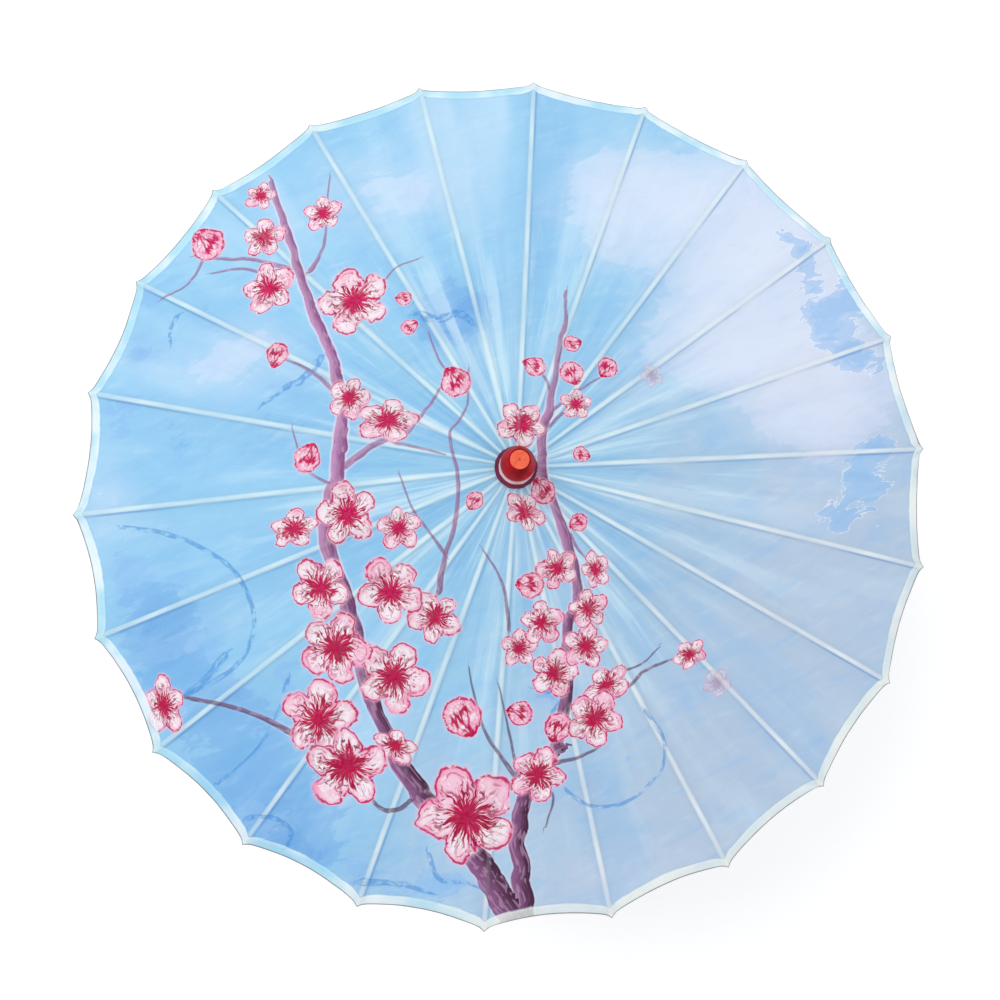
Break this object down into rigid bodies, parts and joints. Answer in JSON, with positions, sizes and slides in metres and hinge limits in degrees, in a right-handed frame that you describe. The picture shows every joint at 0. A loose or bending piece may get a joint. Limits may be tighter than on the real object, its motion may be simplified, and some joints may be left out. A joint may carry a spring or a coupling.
{
  "type": "folding cloth umbrella",
  "caption": "Round shallow umbrella of printed cloth on bamboo ribs, with slotted hub and runner, lacquered head cap, catch and turned wooden grip. It folds.",
  "frame": {"origin": "on the shaft's axis at the middle of the grip", "axes": "+Z along the shaft towards the head cap, +X over the rib called rib_01, +Y completes the right-handed frame"},
  "size_m": [0.8288, 0.8204, 0.5871],
  "materials": {
    "bamboo": "satin",
    "shaft_wood": "satin",
    "hub_wood": "matte",
    "grip_wood": "gloss",
    "lacquer": "gloss",
    "cap_plug_paint": "matte",
    "collar": "matte",
    "cloth": "matte",
    "wire": "satin",
    "brass": "satin"
  },
  "bodies": {
    "shaft_body": {"shaft": "shaft_wood", "top_hub": "hub_wood", "hub_peg": "bamboo", "hub_hinge_ring": "wire", "canopy": "cloth", "cap_collar": "collar", "head_cap": "lacquer", "cap_plug": "cap_plug_paint", "stop_pin": "bamboo", "catch_pin": "wire", "handle_grip": "grip_wood", "grip_ferrule": "brass", "end_knob": "grip_wood"},
    "rib_01_body": {"rib_01": "bamboo"},
    "rib_02_body": {"rib_02": "bamboo"},
    "rib_03_body": {"rib_03": "bamboo"},
    "rib_04_body": {"rib_04": "bamboo"},
    "rib_05_body": {"rib_05": "bamboo"},
    "rib_06_body": {"rib_06": "bamboo"},
    "rib_07_body": {"rib_07": "bamboo"},
    "rib_08_body": {"rib_08": "bamboo"},
    "rib_09_body": {"rib_09": "bamboo"},
    "rib_10_body": {"rib_10": "bamboo"},
    "rib_11_body": {"rib_11": "bamboo"},
    "rib_12_body": {"rib_12": "bamboo"},
    "rib_13_body": {"rib_13": "bamboo"},
    "rib_14_body": {"rib_14": "bamboo"},
    "rib_15_body": {"rib_15": "bamboo"},
    "rib_16_body": {"rib_16": "bamboo"},
    "rib_17_body": {"rib_17": "bamboo"},
    "rib_18_body": {"rib_18": "bamboo"},
    "rib_19_body": {"rib_19": "bamboo"},
    "rib_20_body": {"rib_20": "bamboo"},
    "rib_21_body": {"rib_21": "bamboo"},
    "rib_22_body": {"rib_22": "bamboo"},
    "stretcher_01_body": {"stretcher_01": "bamboo"},
    "stretcher_02_body": {"stretcher_02": "bamboo"},
    "stretcher_03_body": {"stretcher_03": "bamboo"},
    "stretcher_04_body": {"stretcher_04": "bamboo"},
    "stretcher_05_body": {"stretcher_05": "bamboo"},
    "stretcher_06_body": {"stretcher_06": "bamboo"},
    "stretcher_07_body": {"stretcher_07": "bamboo"},
    "stretcher_08_body": {"stretcher_08": "bamboo"},
    "stretcher_09_body": {"stretcher_09": "bamboo"},
    "stretcher_10_body": {"stretcher_10": "bamboo"},
    "stretcher_11_body": {"stretcher_11": "bamboo"},
    "stretcher_12_body": {"stretcher_12": "bamboo"},
    "stretcher_13_body": {"stretcher_13": "bamboo"},
    "stretcher_14_body": {"stretcher_14": "bamboo"},
    "stretcher_15_body": {"stretcher_15": "bamboo"},
    "stretcher_16_body": {"stretcher_16": "bamboo"},
    "stretcher_17_body": {"stretcher_17": "bamboo"},
    "stretcher_18_body": {"stretcher_18": "bamboo"},
    "stretcher_19_body": {"stretcher_19": "bamboo"},
    "stretcher_20_body": {"stretcher_20": "bamboo"},
    "stretcher_21_body": {"stretcher_21": "bamboo"},
    "stretcher_22_body": {"stretcher_22": "bamboo"},
    "runner_body": {"runner": "hub_wood", "runner_hinge_ring": "wire"},
    "catch_body": {"catch_leaf": "brass"}
  },
  "joints": [
    {"name": "canopy_fold", "type": "hinge", "parent": "shaft_body", "child": "rib_01_body", "pos_m": [0.0115, 0, 0.48057], "axis": [0, 1, 0], "range_deg": [0, 73], "deforming": ["canopy", "catch_leaf"]},
    {"name": "stretcher_01_fold", "type": "hinge", "parent": "rib_01_body", "child": "stretcher_01_body", "pos_m": [0.19663, 0, 0.43783], "axis": [0, 1, 0], "range_deg": [-146, 0]},
    {"name": "runner_travel", "type": "hinge", "parent": "stretcher_01_body", "child": "runner_body", "pos_m": [0.0115, 0, 0.39509], "axis": [0, 1, 0], "range_deg": [0, 73]},
    {"name": "rib_02_fold", "type": "hinge", "parent": "shaft_body", "child": "rib_02_body", "pos_m": [0.01103, 0.00324, 0.48057], "axis": [-0.2817, 0.9595, 0], "range_deg": [0, 73]},
    {"name": "stretcher_02_fold", "type": "hinge", "parent": "rib_02_body", "child": "stretcher_02_body", "pos_m": [0.18867, 0.0554, 0.43783], "axis": [-0.2817, 0.9595, 0], "range_deg": [-146, 0]},
    {"name": "rib_03_fold", "type": "hinge", "parent": "shaft_body", "child": "rib_03_body", "pos_m": [0.00967, 0.00622, 0.48057], "axis": [-0.5406, 0.8413, 0], "range_deg": [0, 73]},
    {"name": "stretcher_03_fold", "type": "hinge", "parent": "rib_03_body", "child": "stretcher_03_body", "pos_m": [0.16542, 0.10631, 0.43783], "axis": [-0.5406, 0.8413, 0], "range_deg": [-146, 0]},
    {"name": "rib_04_fold", "type": "hinge", "parent": "shaft_body", "child": "rib_04_body", "pos_m": [0.00753, 0.00869, 0.48057], "axis": [-0.7557, 0.6549, 0], "range_deg": [0, 73]},
    {"name": "stretcher_04_fold", "type": "hinge", "parent": "rib_04_body", "child": "stretcher_04_body", "pos_m": [0.12877, 0.1486, 0.43783], "axis": [-0.7557, 0.6549, 0], "range_deg": [-146, 0]},
    {"name": "rib_05_fold", "type": "hinge", "parent": "shaft_body", "child": "rib_05_body", "pos_m": [0.00478, 0.01046, 0.48057], "axis": [-0.9096, 0.4154, 0], "range_deg": [0, 73]},
    {"name": "stretcher_05_fold", "type": "hinge", "parent": "rib_05_body", "child": "stretcher_05_body", "pos_m": [0.08168, 0.17886, 0.43783], "axis": [-0.9096, 0.4154, 0], "range_deg": [-146, 0]},
    {"name": "rib_06_fold", "type": "hinge", "parent": "shaft_body", "child": "rib_06_body", "pos_m": [0.00164, 0.01138, 0.48057], "axis": [-0.9898, 0.1423, 0], "range_deg": [0, 73]},
    {"name": "stretcher_06_fold", "type": "hinge", "parent": "rib_06_body", "child": "stretcher_06_body", "pos_m": [0.02798, 0.19463, 0.43783], "axis": [-0.9898, 0.1423, 0], "range_deg": [-146, 0]},
    {"name": "rib_07_fold", "type": "hinge", "parent": "shaft_body", "child": "rib_07_body", "pos_m": [-0.00164, 0.01138, 0.48057], "axis": [-0.9898, -0.1423, 0], "range_deg": [0, 73]},
    {"name": "stretcher_07_fold", "type": "hinge", "parent": "rib_07_body", "child": "stretcher_07_body", "pos_m": [-0.02798, 0.19463, 0.43783], "axis": [-0.9898, -0.1423, 0], "range_deg": [-146, 0]},
    {"name": "rib_08_fold", "type": "hinge", "parent": "shaft_body", "child": "rib_08_body", "pos_m": [-0.00478, 0.01046, 0.48057], "axis": [-0.9096, -0.4154, 0], "range_deg": [0, 73]},
    {"name": "stretcher_08_fold", "type": "hinge", "parent": "rib_08_body", "child": "stretcher_08_body", "pos_m": [-0.08168, 0.17886, 0.43783], "axis": [-0.9096, -0.4154, 0], "range_deg": [-146, 0]},
    {"name": "rib_09_fold", "type": "hinge", "parent": "shaft_body", "child": "rib_09_body", "pos_m": [-0.00753, 0.00869, 0.48057], "axis": [-0.7557, -0.6549, 0], "range_deg": [0, 73]},
    {"name": "stretcher_09_fold", "type": "hinge", "parent": "rib_09_body", "child": "stretcher_09_body", "pos_m": [-0.12877, 0.1486, 0.43783], "axis": [-0.7557, -0.6549, 0], "range_deg": [-146, 0]},
    {"name": "rib_10_fold", "type": "hinge", "parent": "shaft_body", "child": "rib_10_body", "pos_m": [-0.00967, 0.00622, 0.48057], "axis": [-0.5406, -0.8413, 0], "range_deg": [0, 73]},
    {"name": "stretcher_10_fold", "type": "hinge", "parent": "rib_10_body", "child": "stretcher_10_body", "pos_m": [-0.16542, 0.10631, 0.43783], "axis": [-0.5406, -0.8413, 0], "range_deg": [-146, 0]},
    {"name": "rib_11_fold", "type": "hinge", "parent": "shaft_body", "child": "rib_11_body", "pos_m": [-0.01103, 0.00324, 0.48057], "axis": [-0.2817, -0.9595, 0], "range_deg": [0, 73]},
    {"name": "stretcher_11_fold", "type": "hinge", "parent": "rib_11_body", "child": "stretcher_11_body", "pos_m": [-0.18867, 0.0554, 0.43783], "axis": [-0.2817, -0.9595, 0], "range_deg": [-146, 0]},
    {"name": "rib_12_fold", "type": "hinge", "parent": "shaft_body", "child": "rib_12_body", "pos_m": [-0.0115, 0, 0.48057], "axis": [0, -1, 0], "range_deg": [0, 73]},
    {"name": "stretcher_12_fold", "type": "hinge", "parent": "rib_12_body", "child": "stretcher_12_body", "pos_m": [-0.19663, 0, 0.43783], "axis": [0, -1, 0], "range_deg": [-146, 0]},
    {"name": "rib_13_fold", "type": "hinge", "parent": "shaft_body", "child": "rib_13_body", "pos_m": [-0.01103, -0.00324, 0.48057], "axis": [0.2817, -0.9595, 0], "range_deg": [0, 73]},
    {"name": "stretcher_13_fold", "type": "hinge", "parent": "rib_13_body", "child": "stretcher_13_body", "pos_m": [-0.18867, -0.0554, 0.43783], "axis": [0.2817, -0.9595, 0], "range_deg": [-146, 0]},
    {"name": "rib_14_fold", "type": "hinge", "parent": "shaft_body", "child": "rib_14_body", "pos_m": [-0.00967, -0.00622, 0.48057], "axis": [0.5406, -0.8413, 0], "range_deg": [0, 73]},
    {"name": "stretcher_14_fold", "type": "hinge", "parent": "rib_14_body", "child": "stretcher_14_body", "pos_m": [-0.16542, -0.10631, 0.43783], "axis": [0.5406, -0.8413, 0], "range_deg": [-146, 0]},
    {"name": "rib_15_fold", "type": "hinge", "parent": "shaft_body", "child": "rib_15_body", "pos_m": [-0.00753, -0.00869, 0.48057], "axis": [0.7557, -0.6549, 0], "range_deg": [0, 73]},
    {"name": "stretcher_15_fold", "type": "hinge", "parent": "rib_15_body", "child": "stretcher_15_body", "pos_m": [-0.12877, -0.1486, 0.43783], "axis": [0.7557, -0.6549, 0], "range_deg": [-146, 0]},
    {"name": "rib_16_fold", "type": "hinge", "parent": "shaft_body", "child": "rib_16_body", "pos_m": [-0.00478, -0.01046, 0.48057], "axis": [0.9096, -0.4154, 0], "range_deg": [0, 73]},
    {"name": "stretcher_16_fold", "type": "hinge", "parent": "rib_16_body", "child": "stretcher_16_body", "pos_m": [-0.08168, -0.17886, 0.43783], "axis": [0.9096, -0.4154, 0], "range_deg": [-146, 0]},
    {"name": "rib_17_fold", "type": "hinge", "parent": "shaft_body", "child": "rib_17_body", "pos_m": [-0.00164, -0.01138, 0.48057], "axis": [0.9898, -0.1423, 0], "range_deg": [0, 73]},
    {"name": "stretcher_17_fold", "type": "hinge", "parent": "rib_17_body", "child": "stretcher_17_body", "pos_m": [-0.02798, -0.19463, 0.43783], "axis": [0.9898, -0.1423, 0], "range_deg": [-146, 0]},
    {"name": "rib_18_fold", "type": "hinge", "parent": "shaft_body", "child": "rib_18_body", "pos_m": [0.00164, -0.01138, 0.48057], "axis": [0.9898, 0.1423, 0], "range_deg": [0, 73]},
    {"name": "stretcher_18_fold", "type": "hinge", "parent": "rib_18_body", "child": "stretcher_18_body", "pos_m": [0.02798, -0.19463, 0.43783], "axis": [0.9898, 0.1423, 0], "range_deg": [-146, 0]},
    {"name": "rib_19_fold", "type": "hinge", "parent": "shaft_body", "child": "rib_19_body", "pos_m": [0.00478, -0.01046, 0.48057], "axis": [0.9096, 0.4154, 0], "range_deg": [0, 73]},
    {"name": "stretcher_19_fold", "type": "hinge", "parent": "rib_19_body", "child": "stretcher_19_body", "pos_m": [0.08168, -0.17886, 0.43783], "axis": [0.9096, 0.4154, 0], "range_deg": [-146, 0]},
    {"name": "rib_20_fold", "type": "hinge", "parent": "shaft_body", "child": "rib_20_body", "pos_m": [0.00753, -0.00869, 0.48057], "axis": [0.7557, 0.6549, 0], "range_deg": [0, 73]},
    {"name": "stretcher_20_fold", "type": "hinge", "parent": "rib_20_body", "child": "stretcher_20_body", "pos_m": [0.12877, -0.1486, 0.43783], "axis": [0.7557, 0.6549, 0], "range_deg": [-146, 0]},
    {"name": "rib_21_fold", "type": "hinge", "parent": "shaft_body", "child": "rib_21_body", "pos_m": [0.00967, -0.00622, 0.48057], "axis": [0.5406, 0.8413, 0], "range_deg": [0, 73]},
    {"name": "stretcher_21_fold", "type": "hinge", "parent": "rib_21_body", "child": "stretcher_21_body", "pos_m": [0.16542, -0.10631, 0.43783], "axis": [0.5406, 0.8413, 0], "range_deg": [-146, 0]},
    {"name": "rib_22_fold", "type": "hinge", "parent": "shaft_body", "child": "rib_22_body", "pos_m": [0.01103, -0.00324, 0.48057], "axis": [0.2817, 0.9595, 0], "range_deg": [0, 73]},
    {"name": "stretcher_22_fold", "type": "hinge", "parent": "rib_22_body", "child": "stretcher_22_body", "pos_m": [0.18867, -0.0554, 0.43783], "axis": [0.2817, 0.9595, 0], "range_deg": [-146, 0]},
    {"name": "catch_press", "type": "hinge", "parent": "shaft_body", "child": "catch_body", "pos_m": [0.0022, 0, 0.33079], "axis": [0, -1, 0], "range_deg": [0, 6], "stiffness_Nm_per_rad": 0.06, "springref_deg": -8.59}
  ],
  "couplings": [
    {"joint": "stretcher_01_fold", "follows": "canopy_fold", "ratio": -2},
    {"joint": "runner_travel", "follows": "canopy_fold", "ratio": 1},
    {"joint": "rib_02_fold", "follows": "canopy_fold", "ratio": 1},
    {"joint": "stretcher_02_fold", "follows": "canopy_fold", "ratio": -2},
    {"joint": "rib_03_fold", "follows": "canopy_fold", "ratio": 1},
    {"joint": "stretcher_03_fold", "follows": "canopy_fold", "ratio": -2},
    {"joint": "rib_04_fold", "follows": "canopy_fold", "ratio": 1},
    {"joint": "stretcher_04_fold", "follows": "canopy_fold", "ratio": -2},
    {"joint": "rib_05_fold", "follows": "canopy_fold", "ratio": 1},
    {"joint": "stretcher_05_fold", "follows": "canopy_fold", "ratio": -2},
    {"joint": "rib_06_fold", "follows": "canopy_fold", "ratio": 1},
    {"joint": "stretcher_06_fold", "follows": "canopy_fold", "ratio": -2},
    {"joint": "rib_07_fold", "follows": "canopy_fold", "ratio": 1},
    {"joint": "stretcher_07_fold", "follows": "canopy_fold", "ratio": -2},
    {"joint": "rib_08_fold", "follows": "canopy_fold", "ratio": 1},
    {"joint": "stretcher_08_fold", "follows": "canopy_fold", "ratio": -2},
    {"joint": "rib_09_fold", "follows": "canopy_fold", "ratio": 1},
    {"joint": "stretcher_09_fold", "follows": "canopy_fold", "ratio": -2},
    {"joint": "rib_10_fold", "follows": "canopy_fold", "ratio": 1},
    {"joint": "stretcher_10_fold", "follows": "canopy_fold", "ratio": -2},
    {"joint": "rib_11_fold", "follows": "canopy_fold", "ratio": 1},
    {"joint": "stretcher_11_fold", "follows": "canopy_fold", "ratio": -2},
    {"joint": "rib_12_fold", "follows": "canopy_fold", "ratio": 1},
    {"joint": "stretcher_12_fold", "follows": "canopy_fold", "ratio": -2},
    {"joint": "rib_13_fold", "follows": "canopy_fold", "ratio": 1},
    {"joint": "stretcher_13_fold", "follows": "canopy_fold", "ratio": -2},
    {"joint": "rib_14_fold", "follows": "canopy_fold", "ratio": 1},
    {"joint": "stretcher_14_fold", "follows": "canopy_fold", "ratio": -2},
    {"joint": "rib_15_fold", "follows": "canopy_fold", "ratio": 1},
    {"joint": "stretcher_15_fold", "follows": "canopy_fold", "ratio": -2},
    {"joint": "rib_16_fold", "follows": "canopy_fold", "ratio": 1},
    {"joint": "stretcher_16_fold", "follows": "canopy_fold", "ratio": -2},
    {"joint": "rib_17_fold", "follows": "canopy_fold", "ratio": 1},
    {"joint": "stretcher_17_fold", "follows": "canopy_fold", "ratio": -2},
    {"joint": "rib_18_fold", "follows": "canopy_fold", "ratio": 1},
    {"joint": "stretcher_18_fold", "follows": "canopy_fold", "ratio": -2},
    {"joint": "rib_19_fold", "follows": "canopy_fold", "ratio": 1},
    {"joint": "stretcher_19_fold", "follows": "canopy_fold", "ratio": -2},
    {"joint": "rib_20_fold", "follows": "canopy_fold", "ratio": 1},
    {"joint": "stretcher_20_fold", "follows": "canopy_fold", "ratio": -2},
    {"joint": "rib_21_fold", "follows": "canopy_fold", "ratio": 1},
    {"joint": "stretcher_21_fold", "follows": "canopy_fold", "ratio": -2},
    {"joint": "rib_22_fold", "follows": "canopy_fold", "ratio": 1},
    {"joint": "stretcher_22_fold", "follows": "canopy_fold", "ratio": -2}
  ]
}
